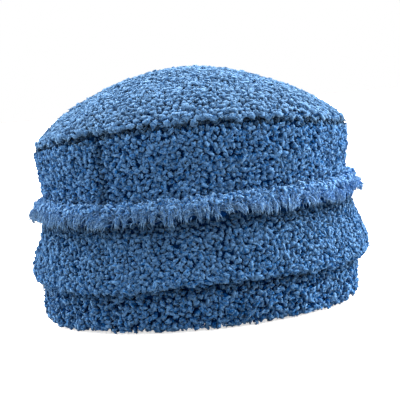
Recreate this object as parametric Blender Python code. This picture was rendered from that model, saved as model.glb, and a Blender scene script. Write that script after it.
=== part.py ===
"""Sherpa fleece beanie: a soft hat of five sewn pieces that stands on its hem.

Metres, +Z up. The hem lies in the plane Z = 0 with the origin at its middle, +X runs along the
length of the head, and every piece keeps its real thickness of backing and pile together.
"""

import math
from collections import namedtuple

import bmesh
import bpy
from mathutils import Vector

MM = 0.001

# The hollow that the head fills
HEAD_LENGTH = 202 * MM
HEAD_WIDTH = 166 * MM
OVAL_FULLNESS = 0.015

# Cloth, and the joins between its pieces
FLEECE = 7.5 * MM
SEAM_GAP = 0.3 * MM
SEAM_NIP = 2.2 * MM
SEAM_ROLL = 7 * MM

# Heights of the pieces, from the hem up
LOWER_BAND_HEIGHT = 38 * MM
MIDDLE_BAND_HEIGHT = 38 * MM
UPPER_BAND_HEIGHT = 49.5 * MM
CROWN_RISE = 39.5 * MM
SEAM_SWAY = 5 * MM

# The middle band's fold, which hangs over the lower band
FOLD_FLARE = 8.4 * MM
FOLD_DROP = 8 * MM
FOLD_WAVE = 3 * MM

# The brushed tuck round the foot of the upper band
TUCK_REACH = 7.6 * MM
TUCK_RISE = 7.6 * MM
TUCK_DROP = 8 * MM
TUCK_WAVE = 2.2 * MM
TUCK_LOCKS = 66

# The hem
HEM_ROUND = 4.5 * MM
HEM_FLAT = 4.2 * MM

# Facets
AROUND = 72
STEPS_PER_LOCK = 2
WELD = 0.001 * MM
SHARP = math.radians(50)

# Levels of the joins between pieces
LOWER_JOIN = LOWER_BAND_HEIGHT
TUCK_JOIN = LOWER_JOIN + MIDDLE_BAND_HEIGHT
CROWN_SEAM = TUCK_JOIN + UPPER_BAND_HEIGHT
HAT_TOP = CROWN_SEAM + CROWN_RISE

# Sections of the lining. level: share of the crown seam's height; length and width: shares of the
# head's; shift: how far the section lies towards +X, as a share of the head's length
LiningSection = namedtuple("LiningSection", "level length width shift")
LINING_SECTIONS = (
    LiningSection(0.00, 1.000, 1.000, -0.009),
    LiningSection(0.14, 1.004, 1.004, -0.008),
    LiningSection(0.25, 1.002, 1.004, 0.000),
    LiningSection(0.50, 0.990, 0.990, 0.000),
    LiningSection(0.70, 0.964, 0.972, 0.000),
    LiningSection(0.92, 0.990, 0.990, 0.000),
    LiningSection(1.00, 0.984, 0.988, 0.000),
)

# Rings of the crown's dome, each a share of the oval at its seam
DOME_OUTER_RINGS = (0.0, 0.14, 0.28, 0.41, 0.53, 0.64, 0.74, 0.83, 0.90, 0.95, 0.98)
DOME_LINING_RINGS = (0.97, 0.88, 0.74, 0.56, 0.36, 0.16, 0.0)
DOME_ROUNDNESS = 0.87

# Soft dents of the dome. x, y and spread: shares of the way from its top to its seam;
# depth: share of the fleece, and a bulge where it is negative
DomeDent = namedtuple("DomeDent", "x y spread depth")
DOME_DENTS = (
    DomeDent(0.55, -0.10, 0.30, 0.32),
    DomeDent(-0.74, -0.42, 0.16, 0.30),
    DomeDent(-0.84, -0.14, 0.14, -0.18),
    DomeDent(0.10, -0.70, 0.20, -0.15),
    DomeDent(-0.30, 0.62, 0.24, 0.28),
    DomeDent(0.62, 0.55, 0.20, 0.20),
)

# Soft dents of the wall. angle and spread in degrees; level and reach: shares of the hat's
# height; depth: share of the fleece, and a bulge where it is negative
WallDent = namedtuple("WallDent", "angle spread level reach depth")
WALL_DENTS = (
    WallDent(237, 7, 0.66, 0.13, 0.30),
    WallDent(222, 11, 0.70, 0.10, -0.16),
    WallDent(258, 14, 0.60, 0.09, 0.12),
    WallDent(287, 10, 0.67, 0.06, 0.18),
    WallDent(316, 13, 0.70, 0.07, -0.16),
    WallDent(340, 15, 0.33, 0.10, -0.14),
    WallDent(205, 12, 0.30, 0.08, 0.14),
    WallDent(240, 6, 0.10, 0.09, 0.16),
    WallDent(60, 16, 0.62, 0.11, 0.18),
    WallDent(112, 13, 0.68, 0.09, -0.15),
    WallDent(135, 12, 0.35, 0.08, 0.12),
    WallDent(38, 14, 0.30, 0.08, -0.12),
)

# Where the two edges that run round the hat ride up or down. angle and spread in degrees;
# fold and tuck: shares of FOLD_WAVE and TUCK_WAVE
EdgeRise = namedtuple("EdgeRise", "angle spread fold tuck")
EDGE_RISES = (
    EdgeRise(0, 26, -0.30, 1.00),
    EdgeRise(58, 24, 0.35, -0.40),
    EdgeRise(96, 22, -0.55, 0.30),
    EdgeRise(140, 20, 0.40, -0.45),
    EdgeRise(178, 18, 0.30, 0.20),
    EdgeRise(237, 19, -1.00, -0.50),
    EdgeRise(262, 16, 0.25, -0.25),
    EdgeRise(285, 20, 0.30, 0.30),
    EdgeRise(322, 15, -0.20, -0.20),
)

# How far the tuck's locks reach, in turn, as shares of TUCK_REACH and TUCK_DROP
Lock = namedtuple("Lock", "reach drop")
LOCK_CYCLE = (
    Lock(1.00, 0.96),
    Lock(0.90, 0.78),
    Lock(0.97, 1.00),
    Lock(0.84, 0.84),
    Lock(0.94, 0.90),
    Lock(0.88, 1.00),
    Lock(0.99, 0.74),
)
LOCK_VALLEY = 0.72

BLUE = {
    "crown_tip": (0.16, 0.29, 0.50, 1.0),
    "upper_band": (0.10, 0.21, 0.40, 1.0),
    "upper_tuck": (0.15, 0.29, 0.50, 1.0),
    "middle_band": (0.11, 0.22, 0.41, 1.0),
    "lower_band": (0.09, 0.18, 0.36, 1.0),
}
ROUGHNESS = 0.95


def clear_scene():
    for obj in list(bpy.data.objects):
        bpy.data.objects.remove(obj)


def within(t):
    """t kept between 0 and 1."""
    return min(1.0, max(0.0, t))


def smooth_step(t):
    t = within(t)
    return t * t * (3 - 2 * t)


def hump(away, spread):
    """1 at the middle, easing to 0 a few spreads away from it."""
    return math.exp(-((away / spread) ** 2))


def degrees_between(angle, turn):
    return math.remainder(math.degrees(angle) - turn, 360)


def lining_section(level):
    """The lining's section at this level, eased between the rows."""
    at = within(level / CROWN_SEAM)
    pairs = list(zip(LINING_SECTIONS, LINING_SECTIONS[1:]))
    low, high = next((pair for pair in pairs if at <= pair[1].level), pairs[-1])
    t = smooth_step((at - low.level) / (high.level - low.level))
    return LiningSection(*(a + t * (b - a) for a, b in zip(low, high)))


def oval_point(angle, half_length, half_width):
    """A point of the plan's oval, a little fuller at its four corners than an ellipse."""
    fuller = 1 + OVAL_FULLNESS * math.sin(2 * angle) ** 2
    return Vector((half_length * math.cos(angle) * fuller, half_width * math.sin(angle) * fuller, 0))


def oval_normal(angle, half_length, half_width):
    """The plan's outward normal at this angle, square to the run of the oval."""
    step = math.radians(0.5)
    run = oval_point(angle + step, half_length, half_width)
    run -= oval_point(angle - step, half_length, half_width)
    return Vector((run.y, -run.x, 0)).normalized()


def wall_swell(angle, level):
    """How far the wall lies out from its plain form here: below zero in a dent."""
    total = 0.0
    for dent in WALL_DENTS:
        turn = hump(degrees_between(angle, dent.angle), dent.spread)
        rise = hump(level - dent.level * HAT_TOP, dent.reach * HAT_TOP)
        total -= dent.depth * FLEECE * turn * rise
    return total


def dome_swell(x_share, y_share):
    """How far the dome's cloth lies up from its plain form here."""
    total = 0.0
    for dent in DOME_DENTS:
        away = math.hypot(x_share - dent.x, y_share - dent.y)
        total -= dent.depth * FLEECE * hump(away, dent.spread)
    return total


def fold_rise(angle):
    """How far the fold's edge rides up here."""
    return FOLD_WAVE * sum(row.fold * hump(degrees_between(angle, row.angle), row.spread) for row in EDGE_RISES)


def tuck_rise(angle):
    """How far the tuck rides up here."""
    return TUCK_WAVE * sum(row.tuck * hump(degrees_between(angle, row.angle), row.spread) for row in EDGE_RISES)


def sway(angle, level):
    """The crown's seam rides higher over the sides of the head than over its front and back."""
    return -SEAM_SWAY * math.cos(2 * angle) * smooth_step((level - TUCK_JOIN) / UPPER_BAND_HEIGHT)


def wall_point(angle, level, out):
    """A point of the wall, as far out from the lining as asked."""
    section = lining_section(level)
    half_length = HEAD_LENGTH / 2 * section.length
    half_width = HEAD_WIDTH / 2 * section.width
    point = oval_point(angle, half_length, half_width)
    point += oval_normal(angle, half_length, half_width) * (out + wall_swell(angle, level))
    point.x += section.shift * HEAD_LENGTH
    point.z = level + sway(angle, level)
    return point


def dome_point(angle, share, out):
    """A point of the crown's dome: share 0 is its top and 1 its seam."""
    edge = wall_point(angle, CROWN_SEAM, out)
    top = HAT_TOP - FLEECE + out
    rise = (top - edge.z) * within(1 - share * share) ** DOME_ROUNDNESS
    rise += dome_swell(share * math.cos(angle), share * math.sin(angle)) * (1 - share**4)
    return Vector((edge.x * share, edge.y * share, edge.z + rise))


def cloth_material(name):
    material = bpy.data.materials.new(name)
    material.use_nodes = True
    shader = material.node_tree.nodes["Principled BSDF"]
    shader.inputs["Base Color"].default_value = BLUE[name]
    shader.inputs["Roughness"].default_value = ROUGHNESS
    shader.inputs["Metallic"].default_value = 0.0
    return material


def rolled_cloth(name, steps, rows, closed, base, place):
    """A grid rolled about the hat's axis, with place(column, row) for each of its points.

    A closed one joins its last row to its first, as a band's section does. An open one starts and
    ends on the axis, as the crown's does. The piece's own origin is on the axis at height base.
    """
    grid = bmesh.new()
    bmesh.ops.create_grid(grid, x_segments=steps, y_segments=rows, size=1.0)
    for vert in grid.verts:
        column = round((vert.co.x + 1) / 2 * steps) % steps
        row = round((vert.co.y + 1) / 2 * rows)
        vert.co = place(column, row % rows if closed else row) - Vector((0, 0, base))
    bmesh.ops.remove_doubles(grid, verts=grid.verts, dist=WELD)
    bmesh.ops.recalc_face_normals(grid, faces=grid.faces)
    mesh = bpy.data.meshes.new(name)
    grid.to_mesh(mesh)
    grid.free()
    mesh.shade_smooth()
    mesh.set_sharp_from_angle(angle=SHARP)
    mesh.materials.append(cloth_material(name))
    piece = bpy.data.objects.new(name, mesh)
    piece.location.z = base
    piece.parent = bpy.data.objects["hem_centre"]
    bpy.data.collections["sherpa_beanie"].objects.link(piece)


def band(name, section, base, lift=None):
    """A ring of cloth: one closed section of (out, level) rows, carried round the oval.

    lift(angle, level), where it is given, raises a point off its level.
    """

    def place(column, row):
        angle = 2 * math.pi * column / AROUND
        out, level = section[row]
        point = wall_point(angle, level, out)
        if lift:
            point.z += lift(angle, level)
        return point

    rolled_cloth(name, AROUND, len(section), True, base, place)


def lower_band():
    """The band that the hat stands on, rolled in at the hem and tucked behind the fold above."""
    top = LOWER_JOIN - SEAM_GAP / 2
    corner = HEM_ROUND * (1 - math.sqrt(0.5))
    flat_inner = (FLEECE - HEM_FLAT) * 0.4
    section = [
        (0.0, top),
        (0.0, top * 0.5),
        (0.0, HEM_ROUND * 0.4),
        (flat_inner, 0.0),
        (flat_inner + HEM_FLAT, 0.0),
        (FLEECE - corner * 0.5, corner),
        (FLEECE, HEM_ROUND),
        (FLEECE * 1.05, top * 0.4),
        (FLEECE * 1.03, top * 0.6),
        (FLEECE * 0.93, top * 0.8),
        (FLEECE * 0.90, top),
    ]
    band("lower_band", section, 0.0)


def middle_band():
    """The flared band. Its foot is folded under, so it is thick there and hangs over the lower band."""
    low = LOWER_JOIN + SEAM_GAP / 2
    top = TUCK_JOIN - SEAM_GAP / 2
    tuck_foot = TUCK_JOIN - TUCK_DROP - TUCK_WAVE
    flare_height = tuck_foot - low
    lip = FLEECE * 1.05 + SEAM_GAP
    fold = LOWER_JOIN - FOLD_DROP
    section = [
        (0.0, low),
        (0.0, (low + top) / 2),
        (0.0, top),
        (FLEECE, top),
        (FLEECE, tuck_foot),
        (FLEECE + FOLD_FLARE * 0.30, low + flare_height * 0.66),
        (FLEECE + FOLD_FLARE * 0.68, low + flare_height * 0.33),
        (FLEECE + FOLD_FLARE * 0.94, low),
        (FLEECE + FOLD_FLARE, fold + FOLD_DROP * 0.55),
        (FLEECE + FOLD_FLARE * 0.86, fold + FOLD_DROP * 0.18),
        (FLEECE + FOLD_FLARE * 0.55, fold),
        (lip + FOLD_FLARE * 0.10, fold + FOLD_DROP * 0.12),
        (lip, fold + FOLD_DROP * 0.45),
        (lip, low),
    ]

    def fold_wave(angle, level):
        return fold_rise(angle) * within((low - level) / FOLD_DROP)

    band("middle_band", section, low, fold_wave)


def upper_band():
    """The side of the crown, nipped in at the seam."""
    low = TUCK_JOIN + SEAM_GAP / 2
    top = CROWN_SEAM - SEAM_GAP / 2
    height = top - low
    section = [
        (0.0, low),
        (0.0, low + height * 0.35),
        (0.0, low + height * 0.7),
        (0.0, top),
        (FLEECE - SEAM_NIP, top),
        (FLEECE - SEAM_NIP * 0.15, top - SEAM_ROLL * 0.4),
        (FLEECE * 1.04, top - SEAM_ROLL),
        (FLEECE * 1.04, low + height * 0.62),
        (FLEECE, low + height * 0.36),
        (FLEECE, low + height * 0.16),
        (FLEECE, low),
    ]
    band("upper_band", section, low)


def upper_tuck():
    """The fold round the hat, whose pile is brushed into locks that droop over the middle band."""
    # Shares of how far each lock reaches out, and of how far the tuck rises or drops
    section = [
        (0.00, -0.62),
        (0.00, 0.0),
        (0.00, 0.72),
        (0.24, 1.00),
        (0.55, 0.86),
        (0.84, 0.48),
        (0.98, 0.02),
        (1.00, -0.48),
        (0.82, -0.92),
        (0.55, -1.00),
        (0.26, -0.84),
    ]
    steps = TUCK_LOCKS * STEPS_PER_LOCK

    def place(column, row):
        angle = 2 * math.pi * column / steps
        lock = LOCK_CYCLE[(column // STEPS_PER_LOCK) % len(LOCK_CYCLE)]
        fullness = LOCK_VALLEY if column % STEPS_PER_LOCK else 1.0
        out, rise = section[row]
        rise *= TUCK_RISE if rise > 0 else TUCK_DROP * lock.drop * fullness
        out *= TUCK_REACH * lock.reach * fullness
        return wall_point(angle, TUCK_JOIN + tuck_rise(angle) + rise, FLEECE + SEAM_GAP + out)

    rolled_cloth("upper_tuck", steps, len(section), True, TUCK_JOIN, place)


def crown_tip():
    """The oval top, domed over the head, with its edge rolled in at the seam."""
    edge = SEAM_GAP / 2
    outer = [(share, FLEECE) for share in DOME_OUTER_RINGS]
    rim = [
        (FLEECE - SEAM_NIP * 0.35, SEAM_ROLL * 0.22),
        (FLEECE - SEAM_NIP, edge),
        (0.0, edge),
    ]
    inner = [(share, 0.0) for share in DOME_LINING_RINGS]

    def place(column, row):
        angle = 2 * math.pi * column / AROUND
        if row < len(outer):
            return dome_point(angle, *outer[row])
        if row < len(outer) + len(rim):
            out, lift = rim[row - len(outer)]
            return wall_point(angle, CROWN_SEAM, out) + Vector((0, 0, lift))
        return dome_point(angle, *inner[row - len(outer) - len(rim)])

    rows = len(outer) + len(rim) + len(inner) - 1
    rolled_cloth("crown_tip", AROUND, rows, False, CROWN_SEAM, place)


def main():
    clear_scene()
    collection = bpy.data.collections.new("sherpa_beanie")
    bpy.context.scene.collection.children.link(collection)
    collection.objects.link(bpy.data.objects.new("hem_centre", None))
    lower_band()
    middle_band()
    upper_tuck()
    upper_band()
    crown_tip()


main()
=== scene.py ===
"""Looks of a sherpa fleece beanie: its nubby pile, its brushed tuck, its knitted back and its stage."""

import math
from collections import namedtuple

import bpy
import numpy as np
from bpy.props import FloatProperty, FloatVectorProperty, IntProperty, PointerProperty
from mathutils import Matrix, Vector
from mathutils.kdtree import KDTree


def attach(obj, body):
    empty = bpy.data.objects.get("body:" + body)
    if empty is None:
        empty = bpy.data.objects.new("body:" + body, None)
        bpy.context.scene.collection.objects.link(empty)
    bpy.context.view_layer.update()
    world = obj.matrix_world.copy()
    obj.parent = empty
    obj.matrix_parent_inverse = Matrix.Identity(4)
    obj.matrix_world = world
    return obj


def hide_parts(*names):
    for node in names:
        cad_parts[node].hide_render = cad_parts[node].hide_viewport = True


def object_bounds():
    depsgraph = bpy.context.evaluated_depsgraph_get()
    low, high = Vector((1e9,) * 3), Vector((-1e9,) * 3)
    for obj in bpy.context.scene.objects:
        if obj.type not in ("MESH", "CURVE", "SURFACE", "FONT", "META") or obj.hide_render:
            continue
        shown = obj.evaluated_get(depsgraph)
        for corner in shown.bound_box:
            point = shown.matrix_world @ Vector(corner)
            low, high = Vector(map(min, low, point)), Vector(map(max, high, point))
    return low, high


bl_info = {
    "name": "Sherpa Fleece Beanie",
    "version": (1, 0, 0),
    "blender": (4, 5, 0),
    "location": "3D View > Sidebar > Fleece Hat",
    "description": "Covers the hat's solids with nubby fleece pile and lays out its stage",
    "category": "Object",
}

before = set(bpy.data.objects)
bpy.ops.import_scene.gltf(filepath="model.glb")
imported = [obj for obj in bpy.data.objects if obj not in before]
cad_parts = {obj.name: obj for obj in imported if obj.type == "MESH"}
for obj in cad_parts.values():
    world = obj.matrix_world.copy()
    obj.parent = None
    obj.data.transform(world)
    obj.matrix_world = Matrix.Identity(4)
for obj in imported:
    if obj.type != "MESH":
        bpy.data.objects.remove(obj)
CAD_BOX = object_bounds()

MM = 0.001
WHITE = (1.0, 1.0, 1.0)
# The colour layer that the materials read: random tone together with painted light and shade
DYE_AND_PAINTED_SHADING = "pile"
BAKE_MAP = "OFBake"

# Nothing stands lower over the floor than this
LEAST_HEIGHT = 0.3 * MM

# Sides and stops of curls, fibres and nub bodies, and the steps at which a node's wall is read
CURL_SIDES = 3
CURL_STOPS = 4
FIBRE_STOPS = 4
BODY_SIDES = 4
WALL_BINS = 40

# The bands' seam: its angle and half width round the hat, how much it shrinks the pile and how much
# shade is painted into its valley, and its share on the bands under the upper one
BAND_SEAM = math.radians(237)
BAND_SEAM_SPREAD = math.radians(1.8)
SEAM_SHRINK = 0.25
SEAM_PAINTED_SHADE = 0.5
SEAM_BELOW = 0.35

# From which share of straight up, down or outward a face shows pile
FACES_UP = 0.3
FACES_DOWN = -0.35
FACES_OUT = 0.3
CROWN_UP = 0.1

# Sowing: how many places are tried for each that is kept, and the least gap, in pitches. Settling:
# how far places push each other and how hard, in pitches, and how often
SOW_TRIES = 12
SOW_GAP = 0.84
SETTLE_REACH = 1.35
SETTLE_PUSH = 0.22
SETTLE_ROUNDS = 8

# The hem: how far its backing is drawn up and to what height, how high its nubs stand, up to what
# height they are ragged and the rolled edge shows pile, and how the ragged ones' sizes vary
HEM_LIFT = 2.8 * MM
HEM_REACH = 12.0 * MM
HEM_NUBS = (0.2 * MM, 4.6 * MM)
HEM_RAGGED = 3 * MM
HEM_ROLL = 4 * MM
HEM_SIZES = (0.55, 1.15)

# Nubs: how wide the clumps and the patches of shade are, what they do to size and shade, how far
# nubs lean, and how their width, height and length vary
CLUMP = 15 * MM
CLUMP_SIZE = 0.03
PATCH = 34 * MM
PATCH_SHADE = 0.06
NUB_LEAN = 0.12
NUB_WIDTHS = (0.86, 1.14)
NUB_HEIGHTS = (0.75, 1.3)
NUB_STRETCH = (1.0, 1.5)

# A nub's body: how far out, how high and how light its rings are, how they vary, and the same for
# the point on top. How light is a height in the painted shade that darkens the pile towards its foot
BODY_RINGS = ((1.2, 0.08, 0.16), (0.9, 0.5, 0.475))
BODY_WIDTHS = (0.75, 1.2)
BODY_HEIGHTS = (0.8, 1.2)
BODY_TOP_HEIGHT = 0.75
BODY_TOP_LIGHT = 0.6

# Curls, in nub radii and heights: how their start varies and how far they wind, in radians, how far
# out the foot is and how much the top draws in, how arches bow, and how the rest varies
CURL_START = 0.45
CURL_WIND = (2.7, 0.6)
CURL_FOOT = 1.05
CURL_DRAW = 0.85
ARCH_BOW = 0.45
ARCH_BEND = 1.6
CURL_WIDTHS = (0.8, 1.15)
CURL_SHIFT = 0.3
CURL_BASE = 0.28
CURL_RISE = 0.82
CURL_LIFTS = (0.82, 1.12)
STRAY_LIFT = 1.35
CURL_WOBBLE = 0.09
CURL_TAPER = ((0, 0.8), (0.25, 1.1), (0.75, 1.0), (1, 0.4))
CURL_THICKNESS = (0.75, 1.25)
CURL_FLATNESS = 0.7
# How light a curl's foot is against its top, in the painted shade that darkens the pile towards its foot
CURL_FOOT_LIGHT = 0.25

# Fuzz: where its roots are on the nub, how its fibres spread and rise, their length in millimetres,
# their bend and how light they are in the painted shade that darkens the pile towards its foot
FUZZ_OUT = (0.2, 0.95)
FUZZ_UP = (0.7, 1.0)
FUZZ_SPREAD = np.array([1.0, 1.15, 1.2])
FUZZ_RISE = np.array([0, 0.5, 0.8])
FUZZ_LENGTH = (1.2, 3.8)
FUZZ_BEND = 0.55 * MM
FUZZ_LIGHT = 0.85

# The tuck: between which shares of its height its roll and its brushed fibres grow, the roll's pitch
# and the core's depth against the other pieces, and how the fibres' material differs, its paler tips
# a painted haze of light
ROLL_FROM = 0.5
BRUSHED_FROM = 0.2
BRUSHED_TO = 0.6
ROLL_PITCH = 0.85
CORE_DEPTH = 0.55
BRUSHED_SHADE = 1.08
BRUSHED_SHEEN = 0.8
BRUSHED_PALE = 0.25

# Locks: how they are combed sideways (size, times round the hat, start), how far their fibres mix
# with the next lock and draw together, and how lean, drop and the fibres' ends vary
COMB = ((0.5, 5, 2.2), (0.35, 13, 0.7))
LOCK_MIXING = 0.3
LOCK_DRAW = (0.7, 0.98)
LOCK_LEAN = 0.25
LOCK_DROP = 1.1 * MM
LOCK_ENDS = 0.09

# Brushed fibres: how deep they root, how they arch out and come down, how much higher those at a
# lock's side and single ones end, how many times commoner strays are than among the curls and how
# they stand out, the fibres' thickness, and where they are lighter or darker: painted shade darker
# at their roots and between locks, and painted light towards the hat's right end
ROOT_DEPTH = 2.2 * MM
ARCH_OUT = 4.4 * MM
ARCH_UP = 1.0 * MM
HANG_OUT = 0.9 * MM
HANG_UP = 3.6 * MM
SIDE_SHORT = 4.0 * MM
SINGLE_SHORT = 5 * MM
TIP_OUT = (-0.2 * MM, 0.7 * MM)
STRAYS = 3
STRAY_OUT = 1.6 * MM
STRAY_SPREAD = 1.5 * MM
FIBRE_TAPER = ((0, 0.8), (0.4, 1.0), (0.75, 0.8), (1, 0.2))
FIBRE_WIDTHS = (0.7, 1.3)
FIBRE_FLATNESS = 0.8
FIBRE_LIGHT = 1.1
MOST_PAINTED_SIDE_LIGHT = 0.6
PAINTED_SHADE_BETWEEN = 0.35

# The colour sockets of a Mix node, which share their names with its other sockets
MIX_FIRST = 6
MIX_SECOND = 7
MIX_RESULT = 2

# The fine crinkle in the yarn's bump
BUMP_STRENGTH = 0.6
BUMP_DEPTH = 0.4 * MM

# What shifts the pile's colour between foot and tip: the input, how far, and the values it runs over
COLOUR_SHIFTS = (("Strand", 0.5, 0, 1), ("Nub", 0.12, 0, 1), ("Grain", 1.2, 0.3, 0.7))

# Between which heights the pile's colour goes over into each input: from root through body to tip, a
# painted shade that is darker deep in the pile
COLOUR_STEPS = (("Body", 0.0, 0.5), ("Tip", 0.5, 1.05))

# The knitted back's dark and light: how far from the body's to the tips' colour, and how bright
KNIT_DARK = (0.25, 0.5)
KNIT_LIGHT = (0.6, 0.8)
# How dark the ground under the pile is painted, as shade deep between the nubs
GROUND_PAINTED_SHADE = 0.6

# The photo's view, and half the floor's width
CAMERA_EYE = Vector((0, -0.66, 0.14))
CAMERA_AIM = Vector((0.0028, 0, 0.0722))
CAMERA_ROLL = math.radians(5.2)
CAMERA_LENS = 84.9
CAMERA_SENSOR = 36
FLOOR_HALF = 40.0

Skin = namedtuple("Skin", "points normals faces")
Part = namedtuple("Part", "points faces places dye")
Nubs = namedtuple("Nubs", "base up side other size tall spin hand stretch shade tone look")
Waves = namedtuple("Waves", "vectors phases")
Wall = namedtuple("Wall", "angle reach low high")
Locks = namedtuple("Locks", "lean draw drop shade")

# A wide sun, in degrees: turn from the front to the right, lift over the floor, angle across it
Sun = namedtuple("Sun", "name turn lift angle")
REAR = Sun("rear", 180, 60, 90)
NEAR_RIGHT = Sun("near_right", 80, 25, 90)
LEFT_SIDE = Sun("left_side", -112, 25, 60)
RIGHT_SIDE = Sun("right_side", 112, 25, 60)

# How a piece's pile differs from the others'. droop: how far it hangs. spread: its size and pitch.
# sheen: how strong its bloom is. relief: how much darker its foot is painted than its tops, a painted
# shade, and how far its strands' tones vary. rise: how tall it is. curl: how wide its curls are. fuzz:
# loose fibre ends on each nub. pale: how far its tips go towards the pale colour, a painted haze of
# light on the brightly lit crown and tuck
Look = namedtuple("Look", "slot seed droop sheen spread relief rise curl fuzz pale")
LOOKS = {
    "crown_tip": Look("crown_fleece", 11, 0.0, 0.33, 1.1, 0.16, 0.4, 1.2, 4, 0.1),
    "upper_band": Look("upper_fleece", 23, 0.25, 0.26, 1.0, 0.9, 0.76, 1.0, 5, 0.0),
    "upper_tuck": Look("tuck_fleece", 37, 0.1, 0.5, 0.95, 0.9, 0.85, 1.0, 7, 0.08),
    "middle_band": Look("middle_fleece", 41, 0.25, 0.24, 1.0, 0.75, 0.7, 1.0, 4, 0.0),
    "lower_band": Look("lower_fleece", 53, 0.25, 0.28, 1.15, 1.2, 0.9, 1.0, 4, 0.0),
}

# How the pile differs along a piece's edge. near and far: distances in from the edge between which
# it goes back to its plain size and shade. The shade there is painted light and shade: darker under
# the crown's rim, the tuck and the fold, just above the tuck and at the foot of the tuck's roll, and
# lighter on the crown's lip, the middle band's folded foot and the hem, where the light catches
Edge = namedtuple("Edge", "near far size shade")
FOOT_EDGES = {
    "crown_tip": Edge(2 * MM, 7 * MM, 1.1, 1.15),
    "upper_band": Edge(7 * MM, 13 * MM, 0.95, 0.8),
    "upper_tuck": Edge(6 * MM, 9.5 * MM, 0.85, 0.55),
    "middle_band": Edge(3 * MM, 9 * MM, 1.08, 1.2),
    "lower_band": Edge(1 * MM, 5 * MM, 0.85, 1.1),
}
TOP_EDGES = {
    "upper_band": Edge(3 * MM, 6.5 * MM, 0.75, 0.2),
    "middle_band": Edge(9 * MM, 16 * MM, 0.9, 0.55),
    "lower_band": Edge(9 * MM, 18 * MM, 0.9, 0.5),
}

# How far single nubs slip down along a piece's foot, so that its edge is ragged
SLIPS = {"crown_tip": 2.4 * MM, "middle_band": 1.3 * MM}
SLIP_REACH = 6.0 * MM

# How much of a piece's foot and top another piece covers, so that no pile stands there
Covered = namedtuple("Covered", "foot top")
COVERED = {
    "upper_band": Covered(5.5 * MM, 0),
    "middle_band": Covered(0, 6 * MM),
    "lower_band": Covered(0, 6 * MM),
}


# Small helpers for vectors and smooth random fields


def unit(vectors):
    """The vectors at length one."""
    return vectors / np.maximum(np.linalg.norm(vectors, axis=-1, keepdims=True), 1e-12)


def dot(first, second):
    """Dot product of each pair of vectors, kept as a column."""
    return np.sum(first * second, axis=-1, keepdims=True)


def tangents(up):
    """Two directions across each up direction, at right angles to it and to each other."""
    steep = np.abs(up[:, 2:3]) > 0.9
    guide = np.where(steep, (1.0, 0.0, 0.0), (0.0, 0.0, 1.0))
    side = unit(np.cross(up, guide))
    return side, np.cross(up, side)


def make_waves(rng, wavelength, count=16):
    """Random plane waves that add up to a soft, cloudy field."""
    directions = unit(rng.normal(size=(count, 3)))
    lengths = wavelength * rng.uniform(0.75, 1.4, (count, 1))
    return Waves(directions * 2 * math.pi / lengths, rng.uniform(0, 2 * math.pi, count))


def field(waves, points):
    """The waves' sum at each point, about -1 to 1, and the way it rises."""
    phase = points @ waves.vectors.T + waves.phases
    share = math.sqrt(2 / len(waves.phases)) / 1.6
    rise = np.cos(phase) @ waves.vectors
    return np.sin(phase).sum(axis=1) * share, unit(rise)


def outward_of(points):
    """The level direction away from the hat's oval at each point."""
    low, high = CAD_BOX
    length = high.x - low.x
    width = high.y - low.y
    away = points * np.array([1.0 / length**2, 1.0 / width**2, 0.0])
    return unit(away)


# Surfaces read from the frame


def read_skin(node):
    """A CAD node's skin with its split corners welded, and a smooth normal at each corner."""
    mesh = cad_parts[node].data
    mesh.calc_loop_triangles()
    points = np.empty(len(mesh.vertices) * 3, np.float32)
    mesh.vertices.foreach_get("co", points)
    faces = np.empty(len(mesh.loop_triangles) * 3, np.int32)
    mesh.loop_triangles.foreach_get("vertices", faces)
    rounded = np.round(points.reshape(-1, 3).astype(float), 6)
    points, index = np.unique(rounded, axis=0, return_inverse=True)
    faces = index.reshape(-1)[faces].reshape(-1, 3)
    cross = face_cross(points, faces)
    normals = np.zeros_like(points)
    for corner in range(3):
        np.add.at(normals, faces[:, corner], cross)
    return Skin(points, unit(normals), faces)


def face_cross(points, faces):
    """Each triangle's normal, as long as twice its area."""
    a, b, c = (points[faces[:, corner]] for corner in range(3))
    return np.cross(b - a, c - a)


def carries_pile(node, skin):
    """Which triangles of a node show their pile side, by how far they face up, down or outward."""
    middle = skin.points[skin.faces].mean(axis=1)
    normal = unit(face_cross(skin.points, skin.faces))
    out = dot(normal, outward_of(middle))[:, 0]
    up = normal[:, 2]
    outward = out > FACES_OUT
    if node == "crown_tip":
        return (up > CROWN_UP) | outward
    under = (up < FACES_DOWN) & (out > -0.2)
    if node == "middle_band":
        return (out > 0.25) | under
    if node == "upper_band":
        return outward | ((up > FACES_UP) & (out > 0))
    return outward | (under & (middle[:, 2] < HEM_ROLL))


def not_covered(node, wall, spots):
    """Which places on a node no other piece covers."""
    if node not in COVERED:
        return np.ones(len(spots), bool)
    angle = wall_angle(spots)
    covered = COVERED[node]
    above = spots[:, 2] - on_wall(wall, "low", angle)
    below = on_wall(wall, "high", angle) - spots[:, 2]
    return (above >= covered.foot) & (below >= covered.top)


def pile_share(skin, shown):
    """From 0 to 1 at each corner, how much of what meets there shows pile."""
    area = np.linalg.norm(face_cross(skin.points, skin.faces), axis=1)
    total = np.zeros(len(skin.points))
    covered = np.zeros(len(skin.points))
    for corner in range(3):
        np.add.at(total, skin.faces[:, corner], area)
        np.add.at(covered, skin.faces[:, corner], area * shown)
    return covered / np.maximum(total, 1e-12)


def scatter(rng, skin, faces, count):
    """Random places on these triangles, with the smooth normal at each."""
    area = np.linalg.norm(face_cross(skin.points, faces), axis=1)
    chosen = rng.choice(len(faces), count, p=area / area.sum())
    shares = rng.dirichlet((1.0, 1.0, 1.0), count)
    spots = np.einsum("ij,ijk->ik", shares, skin.points[faces[chosen]])
    facing = np.einsum("ij,ijk->ik", shares, skin.normals[faces[chosen]])
    return spots, unit(facing)


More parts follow.
